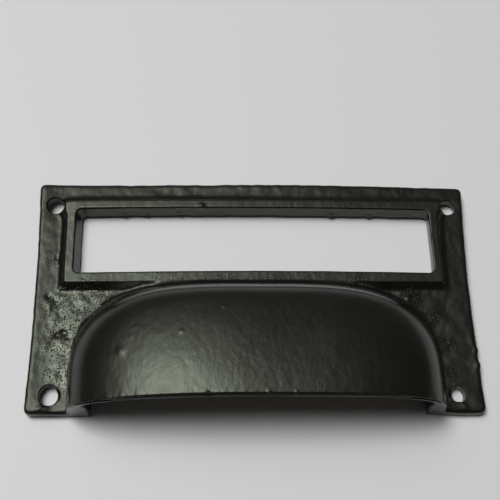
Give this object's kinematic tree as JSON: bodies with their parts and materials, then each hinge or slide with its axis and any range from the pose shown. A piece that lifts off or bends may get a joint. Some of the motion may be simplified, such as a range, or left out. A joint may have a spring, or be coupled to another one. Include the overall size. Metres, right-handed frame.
{
  "type": "label frame pull",
  "caption": "Cast iron drawer pull: a flat plate with a raised label frame round an open window above a domed finger cup, and a screw hole near each corner.",
  "frame": {"origin": "centre of the plate's flat back, which lies on the drawer front", "axes": "+X along the pull, +Y from the mouth of the cup to the label frame, which is up on a drawer, +Z out of the drawer front"},
  "size_m": [0.108, 0.0596, 0.0216],
  "materials": {
    "casting": "black satin paint over a sand-cast skin, with small pits and soft edges"
  },
  "bodies": {
    "root": {"pull_casting": "casting"}
  },
  "joints": []
}
